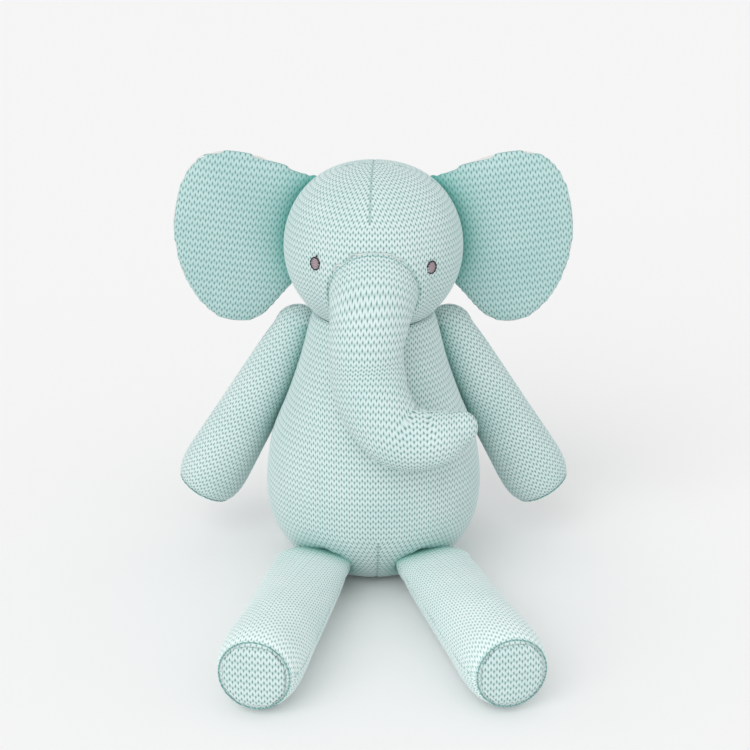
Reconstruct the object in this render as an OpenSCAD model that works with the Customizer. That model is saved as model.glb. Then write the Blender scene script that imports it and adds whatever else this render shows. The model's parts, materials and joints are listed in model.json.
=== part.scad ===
// Seated stuffed elephant, knitted covers over loose filling.
// It faces -Y and sits on Z = 0, with the torso's axis along Z.

/* [Torso] */
// Radius of the flat patch it sits on
seat_r = 58; // [50:1:62]
// Largest radius of the belly
belly_r = 72; // [69:1:76]
// Radius where the torso is gathered at the neck
neck_r = 36; // [34:1:38]
// Height of the torso's gathered top
neck_z = 160; // [158:1:160]
// Thickness of the knitted covers
cover_t = 2.4; // [1.6:0.2:3]

/* [Head] */
// Radius of the head
head_r = 58.5; // [56:0.5:59]
// Height of the head's centre
head_z = 220.5; // [220:0.5:224]
// Distance of each eye from the middle
eye_x = 36; // [32:1:40]
// How much lower the left eye sits, as sewn
eye_drop = 2.4; // [0:0.2:4]

/* [Ears] */
// Thickness of an ear, both panels and the batting
ear_t = 14; // [10:1:16]
// Where the ears' middle plane lies, behind the torso's axis
ear_y = 15; // [13:1:18]

/* [Trunk] */
// Radius of the trunk's root on the face
trunk_root_r = 28; // [26:1:29]
// Radius of the trunk's middle
trunk_r = 23.5; // [20:0.5:24]
// Radius near the trunk's tip
trunk_tip_r = 13; // [11:0.5:15]

/* [Arms] */
// Distance from the shoulder's centre to the flat end of the hand
arm_len = 137; // [120:1:140]
// Radius at the shoulder
arm_root_r = 17; // [15:0.5:18]
// Radius at the hand
arm_end_r = 23.5; // [20:0.5:24]
// Angle of each arm out from the vertical
arm_out = 29.5; // [27:0.5:34]

/* [Legs] */
// Distance from the hip's centre to the flat end of the foot
leg_len = 160; // [140:1:170]
// Radius at the hip
leg_root_r = 21; // [19:0.5:22]
// Radius at the foot
leg_end_r = 26; // [24:0.5:26.4]
// Angle of the right leg out from straight ahead
leg_out_right = 11.7; // [10:0.1:20]
// Angle of the left leg out from straight ahead
leg_out_left = 15.9; // [10:0.1:20]

/* [Hidden] */
$fn = 64;

mint = "#C8E3E1";
mint_pale = "#D3EAE8";
thread = "#8FB9B8";
fibre = "#F1F1EC";
eye_grey = "#A8979D";
eye_dark = "#2A2A2E";

// Room left between a cover and what it holds
fit = 0.3;
// Pivots of the limbs, on the toy's left side, which is +X
shoulder = [50.5, 24, 156];
hip = [36, -60, 24];
trunk_pivot = [0, -50, 205];
tail_pivot = [0, 68, 26];
// Radius of a limb's knotted draw thread, and of the room that it turns in
knot_r = 4;
knot_room = 5;
// Room round a limb's rounded root in the torso or the head
socket_gap = 1.5;
tail_root_r = 8;
tail_len = 42;
tail_tip_r = 5;
tail_cover_t = 1.6;
pad_t = 2.4;
pad_gap = 0.2;
seam_r = 1.2;

// Points of a smooth curve through a few points, with n steps in each stretch
function along(p, i) = p[max(0, min(len(p) - 1, i))];
function bend(a, b, c, d, t) =
    0.5 * (2 * b + (c - a) * t + (2 * a - 5 * b + 4 * c - d) * t * t
        + (3 * b - a - 3 * c + d) * t * t * t);
function curve(p, n) = [
    for (i = [0 : len(p) - 2], k = [0 : n - 1])
        bend(along(p, i - 1), p[i], p[i + 1], along(p, i + 2), k / n),
    p[len(p) - 1]
];
// The same outline moved inwards by d, for a profile of [radius, height] read upwards
function inwards(p, d) = [
    for (i = [0 : len(p) - 1])
        let (run = along(p, i + 1) - along(p, i - 1))
        p[i] + d * [-run[1], run[0]] / norm(run)
];

// Torso -------------------------------------------------------------------

torso_outline = curve([
    [seat_r, 0], [belly_r - 5, 21], [belly_r, 50], [belly_r - 3.5, 88],
    [belly_r - 15, 113], [belly_r - 25, 135], [neck_r, neck_z]
], 5);

// A solid of revolution under an outline, moved inwards by d on every side
module pear(d) {
    moved = inwards(torso_outline, d);
    low = d;
    high = neck_z - d;
    inside = [for (p = moved) if (p[1] > low && p[1] < high) p];
    first = [moved[0][0] + 0.01, low];
    last = [neck_r - d, high];
    rotate_extrude()
        polygon(concat([[0, low], first], inside, [last, [0, high]]));
}

// Everything sewn to the torso that turns in it
module torso_sockets() {
    for (s = [-1, 1]) {
        translate([s * shoulder[0], shoulder[1], shoulder[2]])
            sphere(r = arm_root_r + 2 * socket_gap);
        translate([s * hip[0], hip[1], hip[2]])
            sphere(r = leg_root_r + 5 * socket_gap);
    }
    translate(tail_pivot)
        sphere(r = tail_root_r + socket_gap);
}

module body_cover() {
    color(mint)
        difference() {
            pear(0);
            pear(cover_t);
            torso_sockets();
        }
}

module body_filling() {
    color(fibre)
        difference() {
            pear(cover_t + fit);
            torso_sockets();
        }
}

// Ladder stitches that close the back once the torso is filled
module closing_seam() {
    stitches = 9;
    low = 62;
    pitch = 6;
    stitch_len = 5;
    stitch_r = 0.5;
    color(thread)
        for (i = [0 : stitches - 1]) {
            z = low + i * pitch;
            y = lookup(z, [for (p = torso_outline) [p[1], p[0]]]);
            translate([-stitch_len / 2, y + 2 * stitch_r, z])
                rotate([0, 90, 0])
                    cylinder(r = stitch_r, h = stitch_len, $fn = 16);
        }
}

// The gathered roll between the torso and the head
module neck_seam() {
    roll_r = 2.2;
    color(thread)
        translate([0, 0, neck_z + roll_r + fit])
            rotate_extrude()
                translate([neck_r - 5, 0])
                    circle(r = roll_r, $fn = 24);
}

// Head --------------------------------------------------------------------

// From the head's centre to the middle of the trunk's root
trunk_way = trunk_pivot - [0, 0, head_z];
trunk_reach = norm(trunk_way);

module head_ball(r) {
    translate([0, 0, head_z])
        sphere(r = r);
}

// Half of a round outline, on the right of the axis that it is turned about
module half_disc(r) {
    polygon([for (a = [-90 : 3 : 90]) r * [cos(a), sin(a)]]);
}

// The head is turned about the line to the trunk's root, so that the trunk's hollow is round
module turned_head() {
    translate([0, 0, head_z])
        rotate([90 - asin(trunk_way[2] / trunk_reach), 0, 0])
            rotate_extrude()
                difference() {
                    children();
                    translate([0, trunk_reach])
                        half_disc(trunk_root_r + socket_gap);
                }
}

module head_cover() {
    color(mint)
        turned_head()
            difference() {
                half_disc(head_r);
                half_disc(head_r - cover_t);
            }
}

module head_filling() {
    color(fibre)
        turned_head()
            half_disc(head_r - cover_t - fit);
}

// The roll of thread where the trunk is let into the face
module trunk_seam() {
    roll_r = 0.7;
    socket_r = trunk_root_r + socket_gap;
    // How far along the way to the trunk's root the hollow's rim lies
    plane = (trunk_reach * trunk_reach + head_r * head_r - socket_r * socket_r)
        / (2 * trunk_reach);
    rim_r = sqrt(head_r * head_r - plane * plane);
    lift = (roll_r + 0.2) / head_r;
    color(thread)
        translate([0, 0, head_z])
            rotate([90 - asin(trunk_way[2] / trunk_reach), 0, 0])
                translate([0, 0, plane * (1 + lift) + 0.2])
                    rotate_extrude()
                        translate([rim_r * (1 + lift) + 0.2, 0])
                            circle(r = roll_r, $fn = 24);
}

eye_half_w = 3.3;
eye_half_h = 4.3;
eye_line = 1.1;
eye_t = 0.8;

// An upright oval of half-width w and half-height h
module oval(w, h) {
    polygon([for (a = [0 : 15 : 345]) [w * cos(a), h * sin(a)]]);
}

// Cuts a thin patch out of a shell just over the head; side is 1 for the toy's left
module on_eye(side) {
    z = side > 0 ? -eye_drop : 0;
    face_r = sqrt(head_r * head_r - eye_x * eye_x);
    intersection() {
        difference() {
            head_ball(head_r + 0.1 + eye_t);
            head_ball(head_r + 0.1);
        }
        translate([side * eye_x, -face_r, head_z + 1 + z])
            rotate([90, 0, side * asin(eye_x / head_r)])
                linear_extrude(height = 30, center = true)
                    children();
    }
}

module eye_left() {
    color(eye_grey)
        on_eye(1)
            oval(eye_half_w - eye_line, eye_half_h - eye_line);
}

module eye_right() {
    color(eye_grey)
        on_eye(-1)
            oval(eye_half_w - eye_line, eye_half_h - eye_line);
}

module eye_ring() {
    difference() {
        oval(eye_half_w, eye_half_h);
        oval(eye_half_w - eye_line + 0.1, eye_half_h - eye_line + 0.1);
    }
}

module eye_outline_left() {
    color(eye_dark)
        on_eye(1)
            eye_ring();
}

module eye_outline_right() {
    color(eye_dark)
        on_eye(-1)
            eye_ring();
}

// Ears --------------------------------------------------------------------

ear_panel_t = 3;
ear_gap = 0.2;
// How far the batting stops short of the rim
batting_inset = 3;
// The ears' middle, towards which the batting's rim shrinks, and its distance to the rim
ear_middle = [92, 222];
ear_half = 55;
// Clear ring between the head and the ear's root
ear_clear = head_r + 5.5;

// Half of the ear's rim from its top root to its bottom root, as [X, Z]
ear_rim = curve([
    [41, 261], [58, 271], [88, 279.5], [110, 277], [124, 261], [131, 232],
    [127, 203], [115, 182], [102, 169], [88, 165], [73, 171], [56, 188]
], 4);

module ear_shape(d) {
    difference() {
        offset_rim(d);
        translate([0, head_z])
            circle(r = ear_clear, $fn = 96);
    }
}

// The rim's outline, made smaller by d towards the ear's middle
module offset_rim(d) {
    k = 1 - d / ear_half;
    polygon([for (p = ear_rim) ear_middle + k * (p - ear_middle)]);
}

// One layer of an ear from depth a to depth b behind its front face
module ear_layer(side, a, b, d) {
    translate([0, ear_y - ear_t / 2 + b, 0])
        rotate([90, 0, 0])
            linear_extrude(height = b - a)
                scale_side(side)
                    ear_shape(d);
}

module scale_side(side) {
    if (side > 0)
        children();
    else
        mirror([1, 0])
            children();
}

module ear_front(side) {
    color(mint_pale)
        ear_layer(side, 0, ear_panel_t, 0);
}

module ear_batting(side) {
    color(fibre)
        ear_layer(side, ear_panel_t + ear_gap, ear_t - ear_panel_t - ear_gap, batting_inset);
}

module ear_back(side) {
    color(mint)
        ear_layer(side, ear_t - ear_panel_t, ear_t, 0);
}

module ear_front_left() { ear_front(1); }
module ear_front_right() { ear_front(-1); }
module ear_batting_left() { ear_batting(1); }
module ear_batting_right() { ear_batting(-1); }
module ear_back_left() { ear_back(1); }
module ear_back_right() { ear_back(-1); }

// Trunk -------------------------------------------------------------------

// The trunk's middle line from its root, forward, down the chest and round to the toy's left
trunk_line = curve([
    trunk_pivot, [-2, -62, 193], [-4.5, -68, 177], [-4, -71, 160],
    [1, -78, 141], [15, -84, 125], [36, -85, 121], [55, -83, 126], [64, -81, 128]
], 3);
// The trunk's radius at each of the named points of that line
trunk_radii = curve([
    [trunk_root_r], [trunk_r + 1], [trunk_r], [trunk_r],
    [trunk_r - 1], [trunk_r - 3.5], [trunk_r - 6.5], [trunk_tip_r], [trunk_tip_r - 4]
], 3);
trunk_sides = 24;

function unit(v) = v / norm(v);
function heading(i) = unit(along(trunk_line, i + 1) - along(trunk_line, i - 1));
// A ring of points round the middle line, with a fixed sideways reference
function ring(centre, ahead, r) =
    let (side = unit(cross(ahead, [0.3, 0.95, 0.05])), top = cross(side, ahead))
    [for (k = [0 : trunk_sides - 1])
        centre + r * (cos(k * 360 / trunk_sides) * side + sin(k * 360 / trunk_sides) * top)];
// Rings of a rounded cap, from its pole towards the open side
function cap(centre, ahead, r, n, back) = [
    for (k = [1 : n - 1])
        let (a = back ? 90 - k * 90 / n : k * 90 / n)
        ring(centre + (back ? -1 : 1) * ahead * r * sin(a), ahead, r * cos(a))
];

// A closed solid round the trunk's middle line, thinner than the trunk by d
module trunk_solid(d) {
    last = len(trunk_line) - 1;
    rings = concat(
        cap(trunk_line[0], heading(0), trunk_root_r - d, 6, true),
        [for (i = [0 : last]) ring(trunk_line[i], heading(i), trunk_radii[i][0] - d)],
        cap(trunk_line[last], heading(last), trunk_radii[last][0] - d, 4, false)
    );
    n = trunk_sides;
    top = len(rings) * n;
    points = concat(
        [for (r = rings, p = r) p],
        [trunk_line[0] - heading(0) * (trunk_root_r - d)],
        [trunk_line[last] + heading(last) * (trunk_radii[last][0] - d)]
    );
    sides = [
        for (i = [0 : len(rings) - 2], k = [0 : n - 1], half = [0, 1])
            let (a = i * n + k, b = i * n + (k + 1) % n)
            half == 0 ? [a, b, b + n] : [a, b + n, a + n]
    ];
    ends = [
        for (k = [0 : n - 1], half = [0, 1])
            half == 0
                ? [top, (k + 1) % n, k]
                : [top + 1, top - n + k, top - n + (k + 1) % n]
    ];
    polyhedron(points, concat(sides, ends));
}

module knot(at) {
    translate(at)
        sphere(r = knot_r, $fn = 32);
}

module knot_hole(at) {
    translate(at)
        sphere(r = knot_room, $fn = 32);
}

module trunk_knot() {
    color(thread)
        knot(trunk_pivot);
}

module trunk_cover() {
    color(mint)
        difference() {
            trunk_solid(0);
            trunk_solid(cover_t);
        }
}

module trunk_filling() {
    color(fibre)
        difference() {
            trunk_solid(cover_t + fit);
            knot_hole(trunk_pivot);
        }
}

// Limbs -------------------------------------------------------------------

// A limb along +Z from the middle of its round root, narrowed by d, with a flat far end
module limb(root_r, mid_r, end_r, length, d) {
    root = [for (a = [-90 : 10 : -10]) (root_r - d) * [cos(a), sin(a)]];
    side = curve([
        [root_r - d, 0], [mid_r - d, length * 0.5],
        [end_r - d, length * 0.84], [end_r - 3 - d, length - 1]
    ], 4);
    rotate_extrude()
        polygon(concat(
            [[0, -(root_r - d)]], [for (p = root) if (p[0] > 0.01) p],
            side, [[0, length - 1]]
        ));
}

module limb_cover(root_r, mid_r, end_r, length) {
    difference() {
        limb(root_r, mid_r, end_r, length, 0);
        limb(root_r, mid_r, end_r, length, cover_t);
    }
}

module limb_filling(root_r, mid_r, end_r, length) {
    difference() {
        intersection() {
            limb(root_r, mid_r, end_r, length, cover_t + fit);
            cylinder(r = end_r, h = 2 * (length - 1 - fit), center = true);
        }
        sphere(r = knot_room, $fn = 32);
    }
}

// The round pad that closes a hand or foot
module pad(end_r, length) {
    translate([0, 0, length - 1 + pad_gap])
        cylinder(r = end_r - 3, h = pad_t);
}

// The roll of thread round a pad
module pad_seam(end_r, length) {
    translate([0, 0, length - 1 + pad_gap + seam_r])
        rotate_extrude()
            translate([end_r - 3 + seam_r + pad_gap, 0])
                circle(r = seam_r, $fn = 24);
}

arm_mid_r = 20;
// Angle of each arm back from the torso's sides
arm_back = 4;
leg_mid_r = 24.5;

module at_shoulder(side) {
    translate([side * shoulder[0], shoulder[1], shoulder[2]])
        rotate([arm_back, 0, 0])
            rotate([0, side * (180 - arm_out), 0])
                children();
}

// The foot is a little higher than the hip, so that its wider end rests on the floor
leg_rise = asin((leg_end_r + 0.2 - hip[2]) / (leg_len * 0.84));

module at_hip(side) {
    out = side > 0 ? leg_out_left : leg_out_right;
    translate([side * hip[0], hip[1], hip[2]])
        rotate([0, 0, side * out])
            rotate([90 - leg_rise, 0, 0])
                children();
}

module shoulder_knot_left() {
    color(thread)
        knot(shoulder);
}

module shoulder_knot_right() {
    color(thread)
        knot([-shoulder[0], shoulder[1], shoulder[2]]);
}

module arm_cover(side) {
    color(mint)
        at_shoulder(side)
            limb_cover(arm_root_r, arm_mid_r, arm_end_r, arm_len);
}

module arm_filling(side) {
    color(fibre)
        at_shoulder(side)
            limb_filling(arm_root_r, arm_mid_r, arm_end_r, arm_len);
}

module paw_pad(side) {
    color(mint_pale)
        at_shoulder(side)
            pad(arm_end_r, arm_len);
}

module paw_seam(side) {
    color(thread)
        at_shoulder(side)
            pad_seam(arm_end_r, arm_len);
}

module arm_cover_left() { arm_cover(1); }
module arm_cover_right() { arm_cover(-1); }
module arm_filling_left() { arm_filling(1); }
module arm_filling_right() { arm_filling(-1); }
module paw_pad_left() { paw_pad(1); }
module paw_pad_right() { paw_pad(-1); }
module paw_seam_left() { paw_seam(1); }
module paw_seam_right() { paw_seam(-1); }

module hip_knot_left() {
    color(thread)
        knot(hip);
}

module hip_knot_right() {
    color(thread)
        knot([-hip[0], hip[1], hip[2]]);
}

module leg_cover(side) {
    color(mint_pale)
        at_hip(side)
            limb_cover(leg_root_r, leg_mid_r, leg_end_r, leg_len);
}

module leg_filling(side) {
    color(fibre)
        at_hip(side)
            limb_filling(leg_root_r, leg_mid_r, leg_end_r, leg_len);
}

module sole(side) {
    color(mint)
        at_hip(side)
            pad(leg_end_r, leg_len);
}

module sole_seam(side) {
    color(thread)
        at_hip(side)
            pad_seam(leg_end_r, leg_len);
}

module leg_cover_left() { leg_cover(1); }
module leg_cover_right() { leg_cover(-1); }
module leg_filling_left() { leg_filling(1); }
module leg_filling_right() { leg_filling(-1); }
module sole_left() { sole(1); }
module sole_right() { sole(-1); }
module sole_seam_left() { sole_seam(1); }
module sole_seam_right() { sole_seam(-1); }

// Tail --------------------------------------------------------------------

// The tail along +Z from the middle of its round root, narrowed by d
module tail_solid(d) {
    root = [for (a = [-80 : 10 : 0]) (tail_root_r - d) * [cos(a), sin(a)]];
    tip_r = tail_tip_r - d;
    tip = [for (a = [0 : 15 : 75]) [tip_r * cos(a), tail_len - tail_tip_r + tip_r * sin(a)]];
    rotate_extrude()
        polygon(concat(
            [[0, -(tail_root_r - d)]], root, tip, [[0, tail_len - d]]
        ));
}

module at_tail() {
    translate(tail_pivot)
        rotate([-110, 0, 0])
            children();
}

module tail_knot() {
    color(thread)
        translate(tail_pivot)
            sphere(r = knot_r / 2, $fn = 32);
}

module tail_cover() {
    color(mint)
        at_tail()
            difference() {
                tail_solid(0);
                tail_solid(tail_cover_t);
            }
}

module tail_filling() {
    color(fibre)
        difference() {
            at_tail()
                tail_solid(tail_cover_t + fit);
            translate(tail_pivot)
                sphere(r = knot_r / 2 + 0.5, $fn = 32);
        }
}

body_cover();
body_filling();
closing_seam();
neck_seam();
head_cover();
head_filling();
eye_left();
eye_right();
eye_outline_left();
eye_outline_right();
ear_front_left();
ear_front_right();
ear_batting_left();
ear_batting_right();
ear_back_left();
ear_back_right();
trunk_seam();
trunk_knot();
trunk_cover();
trunk_filling();
shoulder_knot_left();
shoulder_knot_right();
arm_cover_left();
arm_cover_right();
arm_filling_left();
arm_filling_right();
paw_pad_left();
paw_pad_right();
paw_seam_left();
paw_seam_right();
hip_knot_left();
hip_knot_right();
leg_cover_left();
leg_cover_right();
leg_filling_left();
leg_filling_right();
sole_left();
sole_right();
sole_seam_left();
sole_seam_right();
tail_knot();
tail_cover();
tail_filling();
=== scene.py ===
import json
import math

import bmesh
import bpy
import numpy as np
from mathutils import Matrix, Vector


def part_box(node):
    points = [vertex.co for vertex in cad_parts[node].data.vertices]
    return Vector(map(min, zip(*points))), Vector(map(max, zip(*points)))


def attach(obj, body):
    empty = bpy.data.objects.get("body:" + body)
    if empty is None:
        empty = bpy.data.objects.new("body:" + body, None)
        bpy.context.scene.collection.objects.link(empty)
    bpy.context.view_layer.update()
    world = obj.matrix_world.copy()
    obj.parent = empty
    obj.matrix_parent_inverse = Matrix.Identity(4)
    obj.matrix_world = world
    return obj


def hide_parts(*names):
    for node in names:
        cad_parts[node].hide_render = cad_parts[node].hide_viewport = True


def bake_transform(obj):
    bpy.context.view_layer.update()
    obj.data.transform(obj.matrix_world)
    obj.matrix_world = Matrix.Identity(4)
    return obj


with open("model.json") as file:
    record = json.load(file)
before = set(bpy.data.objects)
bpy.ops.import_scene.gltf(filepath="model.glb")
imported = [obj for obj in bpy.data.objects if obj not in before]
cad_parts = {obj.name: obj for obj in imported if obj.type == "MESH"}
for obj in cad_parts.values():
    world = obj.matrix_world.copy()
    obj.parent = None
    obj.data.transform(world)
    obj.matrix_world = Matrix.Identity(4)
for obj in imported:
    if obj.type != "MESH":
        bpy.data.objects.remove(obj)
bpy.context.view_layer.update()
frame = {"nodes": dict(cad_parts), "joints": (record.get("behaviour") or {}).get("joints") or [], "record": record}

cadNodes = frame["nodes"]
pivots = {j["name"]: np.array(j["pos_m"]) * 1000 for j in frame["joints"]}  # in mm, as all shapes here
print("frame loaded")

# Hand-knitted cotton-acrylic yarn in stocking stitch, worked flat and sewn together.
# wale: width of a column of stitches in mm; course: height of a row of stitches in mm
# The crease reach is how far in mm the painted shade in creases spreads from a neighbouring part
knit = {"wale": 3.4, "course": 3.9, "relief": 0.55, "seamDepth": 0.7, "paintedCreaseReach": 5.5,
        "middle": 0.75, "subdivisions": 2}
# The filling's push on a cover: cap is the furthest a point may move in mm
cloth = {"frames": 20, "pressure": 4.0, "cap": 2.2, "quality": 4, "mass": 0.3, "stretch": 12, "shear": 3, "bend": 0.3}


def boxOf(name):
    low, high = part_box(name)
    return np.array(low) * 1000, np.array(high) * 1000


def toLinear(hexColour):
    parts = [int(hexColour[i:i + 2], 16) / 255 for i in (1, 3, 5)]
    return tuple(c / 12.92 if c <= 0.04045 else ((c + 0.055) / 1.055) ** 2.4 for c in parts) + (1.0,)


def addNode(tree, kind, settings=None, inputs=None):
    node = tree.nodes.new("ShaderNode" + kind)
    for name, value in (settings or {}).items():
        setattr(node, name, value)
    for key, value in (inputs or {}).items():
        if isinstance(value, bpy.types.NodeSocket):
            tree.links.new(value, node.inputs[key])
        else:
            node.inputs[key].default_value = value
    return node


def newMaterial(name, roughness, sheen):
    material = bpy.data.materials.new(name)
    material.use_nodes = True
    tree = material.node_tree
    shader = tree.nodes["Principled BSDF"]
    shader.inputs["Roughness"].default_value = roughness
    shader.inputs["Sheen Weight"].default_value = sheen
    shader.inputs["Sheen Roughness"].default_value = 0.5
    shader.inputs["Specular IOR Level"].default_value = 0.25
    return material, tree, shader


def knitMaterial(name, look):
    # Matt plied yarn: bright rounded legs of stitches, the slits between them darkened as painted shade, soft halo of
    # fibre
    material, tree, shader = newMaterial(name, 0.92, look["sheen"])
    uv = addNode(tree, "UVMap", {"uv_map": "knit"}).outputs[0]
    split = addNode(tree, "SeparateXYZ", None, {0: uv})
    u, v = split.outputs[0], split.outputs[1]
    column = addNode(tree, "Math", {"operation": "FRACT"}, {0: u}).outputs[0]
    shifted = addNode(tree, "Math", {"operation": "SUBTRACT"}, {0: column, 1: 0.5}).outputs[0]
    side = addNode(tree, "Math", {"operation": "ABSOLUTE"}, {0: shifted}).outputs[0]
    run = addNode(tree, "Math", {"operation": "SUBTRACT"}, {0: v, 1: side}).outputs[0]
    leg = addNode(tree, "Math", {"operation": "FRACT"}, {0: run}).outputs[0]
    turn = addNode(tree, "Math", {"operation": "MULTIPLY"}, {0: leg, 1: math.pi}).outputs[0]
    bulge = addNode(tree, "Math", {"operation": "SINE"}, {0: turn}).outputs[0]
    edge = addNode(tree, "Math", {"operation": "MULTIPLY_ADD"}, {0: side, 1: 4.0, 2: -1.0}).outputs[0]
    across = addNode(tree, "Math", {"operation": "ABSOLUTE"}, {0: edge}).outputs[0]
    wide = addNode(tree, "Math", {"operation": "POWER"}, {0: across, 1: 1.5}).outputs[0]
    gap = addNode(tree, "Math", {"operation": "SUBTRACT"}, {0: 1.0, 1: bulge}).outputs[0]
    hole = addNode(tree, "Math", {"operation": "MULTIPLY"}, {0: wide, 1: gap}).outputs[0]
    lined = addNode(tree, "Math", {"operation": "MULTIPLY_ADD"}, {0: gap, 1: 0.16, 2: hole}).outputs[0]
    ridged = addNode(tree, "Math", {"operation": "MULTIPLY_ADD"}, {0: wide, 1: 0.12, 2: lined}).outputs[0]
    # Two plies twist round each other, about 1.1 mm a turn
    ply = addNode(tree, "Math", {"operation": "MULTIPLY_ADD"}, {0: side, 1: 38.0, 2: leg}).outputs[0]
    plyTurn = addNode(tree, "Math", {"operation": "MULTIPLY_ADD"}, {0: leg, 1: 21.0, 2: ply}).outputs[0]
    twist = addNode(tree, "Math", {"operation": "SINE"}, {0: plyTurn}).outputs[0]
    coords = addNode(tree, "TexCoord").outputs["Object"]
    fuzz = addNode(tree, "TexNoise", None, {"Vector": coords, "Scale": 900.0, "Detail": 3.0}).outputs["Fac"]
    patch = addNode(tree, "TexNoise", None, {"Vector": coords, "Scale": 26.0, "Detail": 2.0}).outputs["Fac"]
    # Painted shade: the slits between stitches are mixed towards the darker slit colour
    slitShadeMask = addNode(tree, "MapRange", None, {"Value": ridged, 1: 0.06, 2: 0.85}).outputs[0]
    uneven = addNode(tree, "MapRange", None, {"Value": patch, 1: 0.3, 2: 0.7}).outputs[0]
    yarn = addNode(tree, "MixRGB", None, {0: uneven, 1: toLinear(look["yarn"]),
                                          2: toLinear(look["yarnTwo"])}).outputs[0]
    base = addNode(tree, "MixRGB", None, {0: slitShadeMask, 1: yarn, 2: toLinear(look["slit"])}).outputs[0]
    seam = addNode(tree, "Attribute", {"attribute_name": "seam"}).outputs["Fac"]
    seamTone = addNode(tree, "MapRange", None, {"Value": seam, 1: 0.45, 2: 1.0, 4: look["seamShade"]}).outputs[0]
    sewn = addNode(tree, "MixRGB", None, {0: seamTone, 1: base, 2: toLinear(look["slit"])}).outputs[0]
    # Painted shade: near a neighbouring part the colour is mixed towards a darker teal, standing in for the shade and
    # the light bounced between the mint parts in creases
    paintedCreaseShade = addNode(tree, "Attribute", {"attribute_name": "paintedCreaseShade"}).outputs["Fac"]
    paintedCreaseTone = addNode(tree, "MapRange", None, {"Value": paintedCreaseShade, 1: 0.05, 2: 1.0,
                                                  4: look["paintedCreaseStrength"]}).outputs[0]
    paintedCreaseTint = addNode(tree, "MixRGB", None, {0: paintedCreaseTone, 1: sewn, 2: toLinear(look["paintedCreaseTint"])}).outputs[0]
    tree.links.new(paintedCreaseTint, shader.inputs["Base Color"])
    raised = addNode(tree, "Math", {"operation": "MULTIPLY_ADD"}, {0: twist, 1: 0.07, 2: fuzz}).outputs[0]
    height = addNode(tree, "Math", {"operation": "SUBTRACT"}, {0: raised, 1: ridged}).outputs[0]
    bump = addNode(tree, "Bump", None, {"Strength": look["bump"], "Distance": 0.0005, "Height": height})
    tree.links.new(bump.outputs[0], shader.inputs["Normal"])
    return material


def threadMaterial(name, look):
    # Twisted sewing yarn: fine slanting plies across each stitch, the darker bands between them painted shade
    material, tree, shader = newMaterial(name, look["roughness"], look["sheen"])
    coords = addNode(tree, "TexCoord").outputs["Object"]
    ply = addNode(tree, "TexWave", {"wave_type": "BANDS", "bands_direction": "DIAGONAL"},
                  {"Vector": coords, "Scale": look["plies"], "Distortion": 2.0, "Detail": 1.0}).outputs["Fac"]
    base = addNode(tree, "MixRGB", None, {0: ply, 1: toLinear(look["dark"]), 2: toLinear(look["light"])}).outputs[0]
    tree.links.new(base, shader.inputs["Base Color"])
    bump = addNode(tree, "Bump", None, {"Strength": 0.5, "Distance": 0.0002, "Height": ply})
    tree.links.new(bump.outputs[0], shader.inputs["Normal"])
    return material


def fibreMaterial(name, look):
    # Loose polyester fibre: white, cloudy, soft
    material, tree, shader = newMaterial(name, 0.95, 0.4)
    coords = addNode(tree, "TexCoord").outputs["Object"]
    cloud = addNode(tree, "TexNoise", None, {"Vector": coords, "Scale": 120.0, "Detail": 6.0,
                                             "Roughness": 0.65}).outputs["Fac"]
    base = addNode(tree, "MixRGB", None, {0: cloud, 1: toLinear(look["shade"]),
                                          2: toLinear(look["fibre"])}).outputs[0]
    tree.links.new(base, shader.inputs["Base Color"])
    bump = addNode(tree, "Bump", None, {"Strength": 0.6, "Distance": 0.001, "Height": cloud})
    tree.links.new(bump.outputs[0], shader.inputs["Normal"])
    return material


# Each yarn's slit colour is painted shade in the gaps between stitches and also darkens its seam lines; its crease
# colour and strength give the painted shade where it lies against another part
mintKnit = knitMaterial("plied_yarn_mint", {
    "yarn": "#D8E8E7", "yarnTwo": "#CDE1E0", "slit": "#64938F", "seamShade": 0.5, "paintedCreaseTint": "#3BA093",
    "paintedCreaseStrength": 0.65, "sheen": 0.12, "bump": 0.6})
paleKnit = knitMaterial("plied_yarn_pale_mint", {
    "yarn": "#EEF9F8", "yarnTwo": "#E6F5F3", "slit": "#8DB8B5", "seamShade": 0.35, "paintedCreaseTint": "#4FA89B",
    "paintedCreaseStrength": 0.85, "sheen": 0.12, "bump": 0.6})
# The ears' yarn is the mint yarn made darker and more teal: painted shade, for ears that take less light than the head
shadedEarKnit = knitMaterial("plied_yarn_mint_painted_shade_ears", {
    "yarn": "#BFDAD8", "yarnTwo": "#B5D4D2", "slit": "#669896", "seamShade": 0.5, "paintedCreaseTint": "#45A296",
    "paintedCreaseStrength": 0.8, "sheen": 0.12, "bump": 0.6})
tealThread = threadMaterial("sewing_yarn_teal", {
    "dark": "#5C8E8C", "light": "#9CC7C4", "plies": 260.0, "roughness": 0.85, "sheen": 0.1})
mauveThread = threadMaterial("satin_thread_mauve", {
    "dark": "#8C7B81", "light": "#BBA9AF", "plies": 500.0, "roughness": 0.5, "sheen": 0.0})
darkThread = threadMaterial("embroidery_thread_dark", {
    "dark": "#17171B", "light": "#3A3A40", "plies": 500.0, "roughness": 0.55, "sheen": 0.0})
whiteFibre = fibreMaterial("polyester_fibre", {"fibre": "#FAFAF6", "shade": "#DEDED8"})
print("materials made")


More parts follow.
